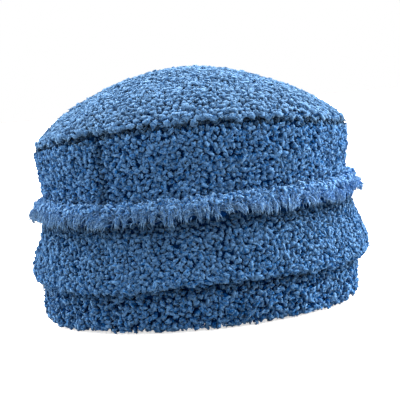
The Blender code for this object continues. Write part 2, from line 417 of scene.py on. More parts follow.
def sow(rng, skin, faces, pitch):
    """Places about one pitch apart all over these triangles, with the normal at each."""
    area = np.linalg.norm(face_cross(skin.points, faces), axis=1).sum() / 2
    spots, facing = scatter(rng, skin, faces, int(SOW_TRIES * area / pitch**2))
    least = (SOW_GAP * pitch) ** 2
    cells = np.floor(spots / pitch).astype(int)
    around = [(x, y, z) for x in (-1, 0, 1) for y in (-1, 0, 1) for z in (-1, 0, 1)]
    taken = {}
    keep = []
    for index, (x, y, z) in enumerate(cells.tolist()):
        near = [other for dx, dy, dz in around for other in taken.get((x + dx, y + dy, z + dz), ())]
        if near:
            gaps = spots[near] - spots[index]
            if (gaps * gaps).sum(axis=1).min() < least:
                continue
        taken.setdefault((x, y, z), []).append(index)
        keep.append(index)
    return settle(spots[keep], facing[keep], pitch), facing[keep]


def settle(spots, facing, pitch):
    """Nudges places apart along the surface until they lie evenly."""
    reach = SETTLE_REACH * pitch
    tree = KDTree(len(spots))
    for index, spot in enumerate(spots):
        tree.insert(spot, index)
    tree.balance()
    pairs = [(i, j) for i, spot in enumerate(spots) for _, j, _ in tree.find_range(spot, reach) if i != j]
    first, second = np.array(pairs).T
    for _ in range(SETTLE_ROUNDS):
        apart = spots[first] - spots[second]
        distance = np.maximum(np.linalg.norm(apart, axis=1, keepdims=True), 0.01 * pitch)
        push = apart / distance * np.clip(1 - distance / reach, 0, 1) * SETTLE_PUSH * pitch
        moves = np.zeros_like(spots)
        np.add.at(moves, first, push)
        spots = spots + moves - facing * dot(moves, facing)
    return spots


# Meshes made of many like parts


def build_piece(name, parts, material, node):
    """One mesh object from parts, with its dye and painted shading and a cell of the bake map for each
    copy.
    """
    cells = math.ceil(math.sqrt(sum(len(part.points) for part in parts)))
    points = []
    faces = []
    places = []
    dye = []
    first_point = 0
    first_cell = 0
    for part in parts:
        copies, size = part.points.shape[:2]
        starts = first_point + np.arange(copies) * size
        number = first_cell + np.arange(copies)
        corner = np.stack([number % cells, number // cells], axis=1)
        faces.append((part.faces[None] + starts[:, None, None]).reshape(-1, 3))
        places.append(((part.places[None] + corner[:, None, None]) / cells).reshape(-1, 2))
        points.append(part.points.reshape(-1, 3))
        dye.append(part.dye.reshape(-1, 4))
        first_point += copies * size
        first_cell += copies
    points = np.concatenate(points)
    points[:, 2] = np.maximum(points[:, 2], LEAST_HEIGHT)
    faces, places, dye = (np.concatenate(rows) for rows in (faces, places, dye))
    link_mesh(name, points, faces, places, dye, material, node)


def link_mesh(name, points, faces, places, dye, material, node):
    """A smooth triangle mesh in the scene that rides on the hat."""
    mesh = bpy.data.meshes.new(name)
    mesh.vertices.add(len(points))
    mesh.vertices.foreach_set("co", points.astype(np.float32).ravel())
    mesh.loops.add(len(faces) * 3)
    mesh.loops.foreach_set("vertex_index", faces.astype(np.int32).ravel())
    mesh.polygons.add(len(faces))
    mesh.polygons.foreach_set("loop_start", np.arange(len(faces), dtype=np.int32) * 3)
    mesh.update(calc_edges=True)
    mesh.shade_smooth()
    layer = mesh.attributes.new(DYE_AND_PAINTED_SHADING, "FLOAT_COLOR", "POINT")
    layer.data.foreach_set("color", dye.astype(np.float32).ravel())
    if places is not None:
        bake = mesh.uv_layers.new(name=BAKE_MAP)
        bake.data.foreach_set("uv", places.astype(np.float32).ravel())
    mesh.materials.append(material)
    piece = bpy.data.objects.new(name, mesh)
    bpy.context.scene.collection.objects.link(piece)
    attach(piece, "root")
    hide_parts(node)


def tubes(paths, across, half_widths, half_depths, dye):
    """Tubes with three sides and two pointed ends along paths. across says which way each is wide."""
    copies, stops = paths.shape[:2]
    run = unit(np.gradient(paths, axis=1))
    wide = unit(across - run * dot(across, run))
    thin = np.cross(run, wide)
    turn = np.arange(CURL_SIDES) * 2 * math.pi / CURL_SIDES
    section = (
        np.cos(turn)[:, None] * (wide * half_widths[..., None])[:, :, None]
        + np.sin(turn)[:, None] * (thin * half_depths[..., None])[:, :, None]
    )
    rings = (paths[:, 1:-1, None] + section[:, 1:-1]).reshape(copies, -1, 3)
    points = np.concatenate([paths[:, :1], rings, paths[:, -1:]], axis=1)
    ring_dye_and_painted_shading = np.repeat(dye[:, 1:-1], CURL_SIDES, axis=1)
    dye = np.concatenate([dye[:, :1], ring_dye_and_painted_shading, dye[:, -1:]], axis=1)
    faces, places = tube_faces(stops - 2)
    return Part(points, faces, places, dye)


def tube_faces(rings):
    """Triangles of a tube with pointed ends, and where their corners lie in its map cell."""
    faces = []
    places = []
    margin = 0.06
    span = 1 - 2 * margin

    def place(row, column):
        return margin + span * column / CURL_SIDES, margin + span * row / (rings + 1)

    for side in range(CURL_SIDES):
        a = 1 + side
        b = 1 + (side + 1) % CURL_SIDES
        faces.append((0, b, a))
        places.append((place(0, side + 0.5), place(1, side + 1), place(1, side)))
        for ring in range(rings - 1):
            low = ring * CURL_SIDES
            high = low + CURL_SIDES
            faces.append((a + low, b + low, b + high))
            places.append((place(ring + 1, side), place(ring + 1, side + 1), place(ring + 2, side + 1)))
            faces.append((a + low, b + high, a + high))
            places.append((place(ring + 1, side), place(ring + 2, side + 1), place(ring + 2, side)))
        last = (rings - 1) * CURL_SIDES
        faces.append((a + last, b + last, 1 + rings * CURL_SIDES))
        places.append((place(rings, side), place(rings, side + 1), place(rings + 1, side + 0.5)))
    return np.array(faces), np.array(places)


def lathe_faces(sides, rings):
    """Triangles of a closed dome of rings with one point on top, and their corners in its map cell."""
    faces = []
    places = []
    centre = np.array([0.5, 0.5])
    widest = 0.46

    def place(ring, side):
        angle = 2 * math.pi * side / sides
        reach = widest * (rings - ring) / rings
        return centre + reach * np.array([math.cos(angle), math.sin(angle)])

    for ring in range(rings - 1):
        for side in range(sides):
            a = ring * sides + side
            b = ring * sides + (side + 1) % sides
            faces.append((a, b, b + sides))
            places.append((place(ring, side), place(ring, side + 1), place(ring + 1, side + 1)))
            faces.append((a, b + sides, a + sides))
            places.append((place(ring, side), place(ring + 1, side + 1), place(ring + 1, side)))
    last = (rings - 1) * sides
    top = rings * sides
    for side in range(sides):
        faces.append((last + side, last + (side + 1) % sides, top))
        places.append((place(rings - 1, side), place(rings - 1, side + 1), centre))
    for side in range(1, sides - 1):
        faces.append((0, side + 1, side))
        places.append((place(0, 0), place(0, side + 1), place(0, side)))
    return np.array(faces), np.array(places)


# Nubs of fleece and the curls of yarn that lie over them


def make_nubs(rng, node, wall, spots, facing, sizes):
    """Nubs at these places: they gather in clumps, lean a little and hang with their weight."""
    look = LOOKS[node]
    count = len(spots)
    crowd, crowd_rise = field(make_waves(rng, CLUMP), spots)
    patch, _ = field(make_waves(rng, PATCH), spots)
    gather = crowd_rise - facing * dot(crowd_rise, facing)
    moved = spots + gather * sizes.gather
    lean = NUB_LEAN * gather + rng.normal(0, NUB_LEAN, (count, 3))
    up = unit(facing + lean + np.array([0, 0, -look.droop]))
    side, other = tangents(up)
    edge_size, painted_edge_shading = edge_effects(rng, node, wall, spots)
    size = look.spread * rng.uniform(*NUB_WIDTHS, count) * (1 + CLUMP_SIZE * crowd) * edge_size
    base = moved - facing * sizes.depth * look.rise
    if node in SLIPS:
        above = spots[:, 2] - on_wall(wall, "low", wall_angle(spots))
        near = np.clip(1 - above / SLIP_REACH, 0, 1)
        base[:, 2] -= SLIPS[node] * near * rng.random(count) * (1 + 0.5 * patch)
    if node == "lower_band":
        lowest = np.where(facing[:, 2] < -0.3, HEM_NUBS[1], rng.uniform(*HEM_NUBS, count))
        base[:, 2] = np.maximum(base[:, 2], lowest)
    return Nubs(
        base,
        up,
        side,
        other,
        size,
        tall=rng.uniform(*NUB_HEIGHTS, count),
        spin=rng.uniform(0, 2 * math.pi, count),
        hand=rng.choice([-1.0, 1.0], count),
        stretch=rng.uniform(*NUB_STRETCH, count),
        shade=rng.random(count),
        # tone: random patches of tone times the painted light and shade along edges
        tone=0.5 * (1 + PATCH_SHADE * patch) * painted_edge_shading,
        look=look,
    )


def edge_effects(rng, node, wall, spots):
    """How big the pile is here, next to a seam, a fold or the hem, and how light: painted light and shade,
    darker under overhangs and in the seam, lighter on edges that catch the light.
    """
    angle = wall_angle(spots)
    size = np.ones(len(spots))
    shade = np.ones(len(spots))
    above = spots[:, 2] - on_wall(wall, "low", angle)
    below = on_wall(wall, "high", angle) - spots[:, 2]
    for edges, distance in ((FOOT_EDGES, above), (TOP_EDGES, below)):
        if node in edges:
            edge = edges[node]
            reach = (edge.near, edge.far)
            size *= np.interp(distance, reach, (edge.size, 1))
            shade *= np.interp(distance, reach, (edge.shade, 1))
    if node != "crown_tip":
        away = (angle - BAND_SEAM + math.pi) % (2 * math.pi) - math.pi
        seam = np.exp(-((away / BAND_SEAM_SPREAD) ** 2))
        deep = 1.0 if node == "upper_band" else SEAM_BELOW
        # Smaller nubs in the seam, and painted shade in its valley
        size *= 1 - SEAM_SHRINK * deep * seam
        shade *= 1 - SEAM_PAINTED_SHADE * deep * seam
    if node == "lower_band":
        size *= np.where(above < HEM_RAGGED, rng.uniform(*HEM_SIZES, len(spots)), 1)
    return size, shade


def nub_bodies(rng, nubs, sizes):
    """A soft, uneven lump under each nub's curls."""
    count = len(nubs.base)
    turn = np.arange(BODY_SIDES) * 2 * math.pi / BODY_SIDES + nubs.spin[:, None]
    rows = []
    heights = []
    for out, rise, light in BODY_RINGS:
        reach = sizes.radius * out * rng.uniform(*BODY_WIDTHS, turn.shape)
        lift = sizes.height * rise * rng.uniform(*BODY_HEIGHTS, turn.shape)
        rows.append(local_points(nubs, np.cos(turn) * reach, np.sin(turn) * reach, lift))
        heights.append(np.full(turn.shape, light))
    middle = np.zeros((count, 1))
    rows.append(local_points(nubs, middle, middle, middle + BODY_TOP_HEIGHT * sizes.height))
    heights.append(np.full((count, 1), BODY_TOP_LIGHT))
    faces, places = lathe_faces(BODY_SIDES, len(BODY_RINGS))
    dye = make_dye_and_painted_shading(np.concatenate(heights, axis=1), rng.random(count), nubs)
    return Part(np.concatenate(rows, axis=1), faces, places, dye)


def local_points(nubs, x, y, z):
    """Points of each nub from its own x, y and height, stretched along its long way. (n, k, 3)"""
    cos = np.cos(nubs.spin)[:, None]
    sin = np.sin(nubs.spin)[:, None]
    along = (x * cos + y * sin) * nubs.stretch[:, None]
    over = (y * cos - x * sin) / np.sqrt(nubs.stretch)[:, None]
    x = along * cos - over * sin
    y = along * sin + over * cos
    size = nubs.size[:, None, None]
    tall = np.sqrt(size) * nubs.look.rise * nubs.tall[:, None, None]
    return (
        nubs.base[:, None]
        + x[..., None] * nubs.side[:, None] * size
        + y[..., None] * nubs.other[:, None] * size
        + z[..., None] * nubs.up[:, None] * tall
    )


def make_dye_and_painted_shading(height, strand, nubs):
    """What the materials read at each point: height in the pile, for a painted shade that is darker at its
    foot, and strand, nub and place shades.
    """
    relief = nubs.look.relief
    strand = 0.5 + relief * (strand - 0.5)
    columns = (1 - relief * (1 - height), strand[:, None], nubs.shade[:, None], nubs.tone[:, None])
    return np.stack([np.broadcast_to(column, height.shape) for column in columns], axis=-1)


def nub_curls(rng, nubs, sizes):
    """Curls of yarn: most wind up over their nub from its foot to its top, and some arch across it."""
    count = len(nubs.base)
    share = np.linspace(0, 1, CURL_STOPS)[None, :]
    shape = (count, CURL_STOPS)
    taper = np.interp(share, *zip(*CURL_TAPER))
    parts = []
    for strand in range(sizes.strands):
        arches = (rng.random(count) < sizes.arches)[:, None]
        start = nubs.spin + 2 * math.pi * strand / sizes.strands + rng.normal(0, CURL_START, count)
        wind = nubs.hand * rng.normal(*CURL_WIND, count)
        angle = start[:, None] + wind[:, None] * share
        reach = CURL_FOOT - CURL_DRAW * share**1.1
        arch_x = np.cos(math.pi * share)
        arch_y = ARCH_BOW * nubs.hand[:, None] * np.sin(ARCH_BEND * math.pi * share)
        across_x = arch_x * np.cos(start)[:, None] - arch_y * np.sin(start)[:, None]
        across_y = arch_x * np.sin(start)[:, None] + arch_y * np.cos(start)[:, None]
        wide = sizes.radius * rng.uniform(*CURL_WIDTHS, (count, 1))
        off = rng.uniform(-CURL_SHIFT, CURL_SHIFT, (2, count, 1)) * sizes.radius
        x = wide * np.where(arches, across_x, np.cos(angle) * reach) + off[0]
        y = wide * np.where(arches, across_y, np.sin(angle) * reach) + off[1]
        lift = np.where(rng.random(count) < sizes.stray, STRAY_LIFT, 1.0) * rng.uniform(*CURL_LIFTS, count)
        curve = np.where(arches, np.sin(math.pi * share), np.sin(0.5 * math.pi * share**0.8))
        rise = sizes.height * lift[:, None] * (CURL_BASE + CURL_RISE * curve)
        wobble = rng.normal(0, CURL_WOBBLE, (3, *shape)) * sizes.radius
        paths = local_points(nubs, x + wobble[0], y + wobble[1], rise + wobble[2])
        across = np.cross(np.gradient(paths, axis=1), nubs.up[:, None])
        vary = rng.uniform(*CURL_THICKNESS, (count, 1))
        thick = sizes.curl * nubs.look.curl * nubs.size[:, None] * vary / 2 * taper
        light = CURL_FOOT_LIGHT + (1 - CURL_FOOT_LIGHT) * curve**1.2
        dye = make_dye_and_painted_shading(np.broadcast_to(light, shape), rng.random(count), nubs)
        parts.append(tubes(paths, across, thick, CURL_FLATNESS * thick, dye))
    return parts


def nub_fuzz(rng, nubs, sizes):
    """Loose fibre ends that stand out of the curls."""
    count = len(nubs.base)
    shape = (count, len(FUZZ_RISE))
    thick = np.full(shape, 0.5 * sizes.fuzz)
    parts = []
    for _ in range(nubs.look.fuzz):
        angle = rng.uniform(0, 2 * math.pi, (count, 1))
        reach = sizes.radius * rng.uniform(*FUZZ_OUT, (count, 1))
        rise = sizes.height * rng.uniform(*FUZZ_UP, (count, 1))
        bend = np.zeros((2, *shape))
        bend[..., 1:] = np.cumsum(rng.normal(0, FUZZ_BEND, (2, count, 2)), axis=2)
        length = rng.uniform(*FUZZ_LENGTH, (count, 1)) * MM
        x = np.cos(angle) * reach * FUZZ_SPREAD + bend[0]
        y = np.sin(angle) * reach * FUZZ_SPREAD + bend[1]
        paths = local_points(nubs, x, y, rise + FUZZ_RISE * length)
        across = np.cross(np.gradient(paths, axis=1), nubs.up[:, None])
        dye = make_dye_and_painted_shading(np.full(shape, FUZZ_LIGHT), rng.random(count), nubs)
        parts.append(tubes(paths, across, thick, thick, dye))
    return parts


def dress_in_nubs(context, node, shade):
    """Gives a node its backing, its nubs and their curls."""
    settings = context.scene.fleece_hat
    sizes = settings.sizes
    look = LOOKS[node]
    rng = np.random.default_rng(look.seed)
    skin = read_skin(node)
    shown = carries_pile(node, skin)
    spots, facing = sow(rng, skin, skin.faces[shown], sizes.pitch * look.spread)
    wall = read_wall(skin)
    bare = not_covered(node, wall, spots)
    nubs = make_nubs(rng, node, wall, spots[bare], facing[bare], sizes)
    build_backing(node, skin, shown, sizes.depth * look.rise, settings.colours, shade)
    build_nubs(rng, node, nubs, settings, shade)


def build_nubs(rng, node, nubs, settings, shade):
    """The three pieces that a node's nubs are made of."""
    look = nubs.look
    sizes = settings.sizes
    body = pile_material(node + "_nub", settings.colours, shade, 0.0, look.pale)
    yarn = pile_material(node + "_yarn", settings.colours, shade, look.sheen, look.pale)
    build_piece(node + "_nubs", [nub_bodies(rng, nubs, sizes)], body, node)
    build_piece(node + "_curls", nub_curls(rng, nubs, sizes), yarn, node)
    build_piece(node + "_fuzz", nub_fuzz(rng, nubs, sizes), yarn, node)


def build_backing(node, skin, shown, depth, colours, shade):
    """The knitted cloth under the pile: the node's own shell, drawn in where pile stands on it."""
    share = pile_share(skin, shown)
    points = skin.points - skin.normals * (share * depth)[:, None]
    if node == "lower_band":
        points[:, 2] += HEM_LIFT * np.clip(1 - points[:, 2] / HEM_REACH, 0, 1)
    dye = np.zeros((len(points), 4))
    # Alpha marks where the knit shows; where pile stands the ground is painted dark as shade
    dye[:, 3] = 1 - share
    material = knit_material(node + "_knit", colours, shade)
    link_mesh(node + "_backing", points, skin.faces, None, dye, material, node)


# The tuck's roll of small nubs and its brushed locks


def read_wall(skin):
    """How far out, how low and how high a node reaches at steps round the hat."""
    _, corner = CAD_BOX
    flat = skin.points[:, :2] / np.array([corner.x, corner.y])
    angle = np.arctan2(flat[:, 1], flat[:, 0])
    number = ((angle + math.pi) / (2 * math.pi) * WALL_BINS).astype(int) % WALL_BINS
    reach = np.zeros(WALL_BINS)
    low = np.full(WALL_BINS, np.inf)
    high = np.full(WALL_BINS, -np.inf)
    np.maximum.at(reach, number, np.linalg.norm(flat, axis=1))
    np.minimum.at(low, number, skin.points[:, 2])
    np.maximum.at(high, number, skin.points[:, 2])
    middle = (np.arange(WALL_BINS) + 0.5) / WALL_BINS * 2 * math.pi - math.pi
    filled = reach > 0
    return Wall(middle[filled], reach[filled], low[filled], high[filled])


def on_wall(wall, row, angle):
    """One of the wall's rows at any angle."""
    return np.interp(angle, wall.angle, getattr(wall, row), period=2 * math.pi)


def wall_angle(points):
    """The angle of points round the hat's oval."""
    _, corner = CAD_BOX
    return np.arctan2(points[:, 1] / corner.y, points[:, 0] / corner.x)


def make_locks(rng, count):
    """How each brushed lock leans, how far its fibres draw together, how low it hangs and its shade."""
    turn = np.arange(count) / count * 2 * math.pi
    comb = sum(size * np.sin(times * turn + start) for size, times, start in COMB)
    return Locks(
        comb + rng.normal(0, LOCK_LEAN, count),
        rng.uniform(*LOCK_DRAW, count),
        rng.normal(0, LOCK_DROP, count),
        rng.random(count),
    )


def fibre_paths(roots, facing, tips, out):
    """Smooth paths that arch out of the tuck and come down to their tips."""
    down = np.array([0.0, 0.0, -1.0])
    first = roots + facing * ARCH_OUT - down * ARCH_UP
    second = tips + out * HANG_OUT - down * HANG_UP
    share = np.linspace(0, 1, FIBRE_STOPS)[None, :, None]
    paths = (
        roots[:, None] * (1 - share) ** 3
        + first[:, None] * 3 * share * (1 - share) ** 2
        + second[:, None] * 3 * share**2 * (1 - share)
        + tips[:, None] * share**3
    )
    return paths, np.broadcast_to(np.cross(out, down)[:, None], paths.shape), share[..., 0]


def tuck_strands(rng, skin, faces, wall, sizes):
    """Fine brushed fibres that come out of the tuck and hang down in soft, overlapping locks."""
    _, corner = CAD_BOX
    half = np.array([corner.x, corner.y])
    spots, facing = scatter(rng, skin, faces, sizes.fibres)
    count = len(spots)
    angle = wall_angle(spots)
    total = int(math.pi * (half[0] + half[1]) / sizes.lock_pitch)
    place = (angle / (2 * math.pi) % 1.0) * total
    number = np.floor(place + rng.normal(0, LOCK_MIXING, count)).astype(int) % total
    away = place - number - 0.5
    away = (away + total / 2) % total - total / 2
    locks = make_locks(rng, total)
    drawn = away * (1 - locks.draw[number])
    end = number + 0.5 + locks.lean[number] + drawn + rng.normal(0, LOCK_ENDS, count)
    end_angle = (end / total * 2 * math.pi + math.pi) % (2 * math.pi) - math.pi
    reach = on_wall(wall, "reach", end_angle)
    low = on_wall(wall, "low", end_angle)
    level = np.stack([np.cos(end_angle), np.sin(end_angle)], axis=1) * half * reach[:, None]
    out = outward_of(spots)
    shorter = SIDE_SHORT * np.abs(away) + rng.uniform(0, 1, count) ** 1.5 * SINGLE_SHORT
    stray = (rng.random(count) < STRAYS * sizes.stray)[:, None]
    tips = np.column_stack([level, low + locks.drop[number] + shorter])
    tips += out * rng.normal(*TIP_OUT, count)[:, None]
    tips += stray * (out * STRAY_OUT + rng.normal(0, STRAY_SPREAD, (count, 3)))
    paths, across, share = fibre_paths(spots - facing * ROOT_DEPTH, facing, tips, out)
    thick = sizes.fibre * rng.uniform(*FIBRE_WIDTHS, (count, 1)) / 2
    thick = thick * np.interp(share, *zip(*FIBRE_TAPER))
    # Painted light: fibres towards the hat's right end are lighter. Painted shade: fibres between locks are
    # darker.
    painted_side_light = np.clip(1.1 * np.cos(angle), 0, MOST_PAINTED_SIDE_LIGHT)
    between = np.clip(2 * np.abs(away), 0, 1) ** 1.5
    tone = 0.5 * ((1 - PAINTED_SHADE_BETWEEN * between) * (1 + painted_side_light))[:, None]
    columns = (FIBRE_LIGHT * share**0.8, rng.random((count, 1)), locks.shade[number][:, None], tone)
    dye = np.stack([np.broadcast_to(column, (count, FIBRE_STOPS)) for column in columns], axis=-1)
    return tubes(paths, across, thick, FIBRE_FLATNESS * thick, dye)


def dress_tuck(context, node, shade):
    """Gives the tuck its core, the roll of small nubs along its top and its brushed locks."""
    settings = context.scene.fleece_hat
    sizes = settings.sizes
    colours = settings.colours
    look = LOOKS[node]
    rng = np.random.default_rng(look.seed)
    skin = read_skin(node)
    normal = unit(face_cross(skin.points, skin.faces))
    middle = skin.points[skin.faces].mean(axis=1)
    out = dot(normal, outward_of(middle))[:, 0]
    wall = read_wall(skin)
    angle = wall_angle(middle)
    low = on_wall(wall, "low", angle)
    high = on_wall(wall, "high", angle)
    rise = (middle[:, 2] - low) / (high - low)
    roll = (rise > ROLL_FROM) & ((out > 0.1) | (normal[:, 2] > FACES_UP))
    brushed = (rise > BRUSHED_FROM) & (rise < BRUSHED_TO) & (out > 0.15)
    spots, facing = sow(rng, skin, skin.faces[roll], sizes.pitch * look.spread * ROLL_PITCH)
    nubs = make_nubs(rng, node, wall, spots, facing, sizes)
    strands = tuck_strands(rng, skin, skin.faces[brushed], wall, sizes)
    everywhere = np.ones(len(skin.faces), bool)
    build_backing(node, skin, everywhere, sizes.depth * CORE_DEPTH, colours, shade)
    build_nubs(rng, node, nubs, settings, shade)
    sheen = BRUSHED_SHEEN * look.sheen
    yarn = pile_material(node + "_brushed", colours, BRUSHED_SHADE * shade, sheen, BRUSHED_PALE)
    build_piece(node + "_locks", [strands], yarn, node)


# Materials


def add_node(tree, kind, **values):
    """A node with its settings and its unlinked inputs filled in."""
    node = tree.nodes.new(kind)
    for name, value in values.items():
        if name in node.inputs:
            node.inputs[name].default_value = value
        else:
            setattr(node, name, value)
    return node


def new_group(name, inputs, outputs):
    """An empty shader node group with named sockets, and its two end nodes."""
    tree = bpy.data.node_groups.new(name, "ShaderNodeTree")
    for title, kind in inputs:
        tree.interface.new_socket(title, in_out="INPUT", socket_type=kind)
    for title, kind in outputs:
        tree.interface.new_socket(title, in_out="OUTPUT", socket_type=kind)
    return tree, tree.nodes.new("NodeGroupInput"), tree.nodes.new("NodeGroupOutput")


def add_range(tree, source, low=0.0, high=1.0, to_low=0.0, to_high=1.0, **values):
    """A Map Range node that reads a socket, and its result."""
    node = add_node(tree, "ShaderNodeMapRange", **values)
    limits = {"From Min": low, "From Max": high, "To Min": to_low, "To Max": to_high}
    for name, value in limits.items():
        node.inputs[name].default_value = value
    tree.links.new(source, node.inputs["Value"])
    return node.outputs["Result"]


def add_blend(tree, factor, first, second):
    """A colour Mix node from first to second, each a socket or a plain colour, and its result."""
    node = add_node(tree, "ShaderNodeMix", data_type="RGBA")
    tree.links.new(factor, node.inputs["Factor"])
    for number, colour in ((MIX_FIRST, first), (MIX_SECOND, second)):
        if isinstance(colour, bpy.types.NodeSocket):
            tree.links.new(colour, node.inputs[number])
        else:
            node.inputs[number].default_value = colour
    return node.outputs[MIX_RESULT]


def add_sum(tree, first, second):
    """A Math node that adds two sockets, and its result."""
    node = add_node(tree, "ShaderNodeMath", operation="ADD")
    tree.links.new(first, node.inputs[0])
    tree.links.new(second, node.inputs[1])
    return node.outputs[0]


def dyed_pile():
    """Node group: the colour of pile from its height, a painted shade darker at its foot, with strand, nub,
    place and grain shades.
    """
    name = "dyed_pile"
    if name in bpy.data.node_groups:
        return bpy.data.node_groups[name]
    colour = "NodeSocketColor"
    value = "NodeSocketFloat"
    inputs = [(title, colour) for title in ("Root", "Body", "Tip")]
    inputs += [(title, value) for title in ("Height", "Strand", "Nub", "Place", "Grain")]
    tree, start, end = new_group(name, inputs, [("Color", colour)])
    level = start.outputs["Height"]
    for title, share, low, high in COLOUR_SHIFTS:
        shift = add_range(tree, start.outputs[title], low, high, -share / 2, share / 2, clamp=False)
        level = add_sum(tree, level, shift)
    colour_with_painted_shade = start.outputs["Root"]
    for title, low, high in COLOUR_STEPS:
        step = add_range(tree, level, low, high, interpolation_type="SMOOTHSTEP")
        colour_with_painted_shade = add_blend(tree, step, colour_with_painted_shade, start.outputs[title])
    double = add_node(tree, "ShaderNodeMath", operation="MULTIPLY")
    double.inputs[1].default_value = 2.0
    scale = add_node(tree, "ShaderNodeVectorMath", operation="SCALE")
    tree.links.new(start.outputs["Place"], double.inputs[0])
    tree.links.new(colour_with_painted_shade, scale.inputs[0])
    tree.links.new(double.outputs[0], scale.inputs["Scale"])
    tree.links.new(scale.outputs[0], end.inputs["Color"])
    return tree


def fibre_grain():
    """Node group: fine crinkled fibre, as a value for bump and shade."""
    name = "fibre_grain"
    if name in bpy.data.node_groups:
        return bpy.data.node_groups[name]
    value = "NodeSocketFloat"
    tree, start, end = new_group(name, [("Scale", value), ("Crinkle", value)], [("Value", value)])
    link = tree.links.new
    place = add_node(tree, "ShaderNodeTexCoord")
    noise = add_node(tree, "ShaderNodeTexNoise", Detail=3.0, Roughness=0.6)
    link(place.outputs["Object"], noise.inputs["Vector"])
    link(start.outputs["Scale"], noise.inputs["Scale"])
    link(start.outputs["Crinkle"], noise.inputs["Distortion"])
    link(noise.outputs["Fac"], end.inputs["Value"])
    return tree


def place_group(tree, group, **values):
    """A group node in a material, with its own values."""
    node = tree.nodes.new("ShaderNodeGroup")
    node.node_tree = group
    for name, value in values.items():
        node.inputs[name].default_value = value
    return node


def shaded_colour(colour, shade):
    """A colour with its brightness scaled, ready for a colour socket."""
    return (*(min(1.0, channel * shade) for channel in colour), 1.0)


def new_material(name, sheen, colours):
    """A matt fibre material: its tree, its shader and the split dye and painted shading that it reads."""
    material = bpy.data.materials.new(name)
    material.use_nodes = True
    tree = material.node_tree
    shader = tree.nodes["Principled BSDF"]
    shader.inputs["Roughness"].default_value = 0.9
    shader.inputs["Specular IOR Level"].default_value = 0.0
    shader.inputs["Sheen Weight"].default_value = sheen
    shader.inputs["Sheen Roughness"].default_value = 0.4
    shader.inputs["Sheen Tint"].default_value = (*colours.haze, 1.0)
    dye = add_node(tree, "ShaderNodeAttribute", attribute_name=DYE_AND_PAINTED_SHADING)
    split = tree.nodes.new("ShaderNodeSeparateColor")
    tree.links.new(dye.outputs["Color"], split.inputs[0])
    return material, tree, shader, split, dye


def pile_material(name, colours, shade, sheen, pale):
    """Yarn of the pile: painted dark at its foot and light at its tip as painted shade, with a soft bloom.
    """
    # The pale share is a painted haze of light on the tips
    tip = Vector(colours.tip).lerp(Vector(colours.pale), pale)
    body = Vector(colours.body).lerp(Vector(colours.pale), pale / 2)
    material, tree, shader, split, dye = new_material(name, sheen, colours)
    link = tree.links.new
    colour = place_group(
        tree,
        dyed_pile(),
        Root=shaded_colour(colours.root, shade),
        Body=shaded_colour(body, shade),
        Tip=shaded_colour(tip, shade),
    )
    link(split.outputs[0], colour.inputs["Height"])
    link(split.outputs[1], colour.inputs["Strand"])
    link(split.outputs[2], colour.inputs["Nub"])
    link(dye.outputs["Alpha"], colour.inputs["Place"])
    grain = place_group(tree, fibre_grain(), Scale=750.0, Crinkle=0.8)
    link(grain.outputs["Value"], colour.inputs["Grain"])
    add_bump(tree, grain.outputs["Value"], shader)
    link(colour.outputs["Color"], shader.inputs["Base Color"])
    return material


def add_bump(tree, height, shader):
    """A soft bump from a height that feeds the shader's normal."""
    bump = add_node(tree, "ShaderNodeBump", Strength=BUMP_STRENGTH, Distance=BUMP_DEPTH)
    tree.links.new(height, bump.inputs["Height"])
    tree.links.new(bump.outputs["Normal"], shader.inputs["Normal"])


def knit_material(name, colours, shade):
    """Knitted back of the cloth: fine ribs of loops inside, and a ground painted dark under the pile as
    shade deep between the nubs.
    """
    material, tree, shader, _, dye = new_material(name, 0.0, colours)
    place = add_node(tree, "ShaderNodeTexCoord")
    ribs = add_node(tree, "ShaderNodeTexVoronoi", feature="DISTANCE_TO_EDGE", Scale=600.0)
    tree.links.new(place.outputs["Object"], ribs.inputs["Vector"])
    loops = add_range(tree, ribs.outputs["Distance"], high=0.35, interpolation_type="SMOOTHSTEP")
    body = Vector(colours.body)
    tip = Vector(colours.tip)
    knit = [shaded_colour(body.lerp(tip, way), bright) for way, bright in (KNIT_DARK, KNIT_LIGHT)]
    painted_shade_ground = shaded_colour(colours.root, GROUND_PAINTED_SHADE * shade)
    side = add_blend(tree, dye.outputs["Alpha"], painted_shade_ground, add_blend(tree, loops, *knit))
    grain = place_group(tree, fibre_grain(), Scale=1100.0, Crinkle=0.4)
    add_bump(tree, add_sum(tree, loops, grain.outputs["Value"]), shader)
    tree.links.new(side, shader.inputs["Base Color"])
    return material


# Stage


def place_camera(scene):
    """The photo's view: in front of the hat, a little above its middle and rolled to the right."""
    forward = (CAMERA_AIM - CAMERA_EYE).normalized()
    right = forward.cross(Vector((0, 0, 1))).normalized()
    up = right.cross(forward)
    tilted_right = right * math.cos(CAMERA_ROLL) - up * math.sin(CAMERA_ROLL)
    tilted_up = right * math.sin(CAMERA_ROLL) + up * math.cos(CAMERA_ROLL)
    camera = bpy.data.objects.new("camera", bpy.data.cameras.new("camera"))
    camera.data.sensor_width = CAMERA_SENSOR
    camera.data.lens = CAMERA_LENS
    turn = Matrix((tilted_right, tilted_up, -forward)).transposed()
    camera.matrix_world = Matrix.Translation(CAMERA_EYE) @ turn.to_4x4()
    scene.collection.objects.link(camera)
    scene.camera = camera


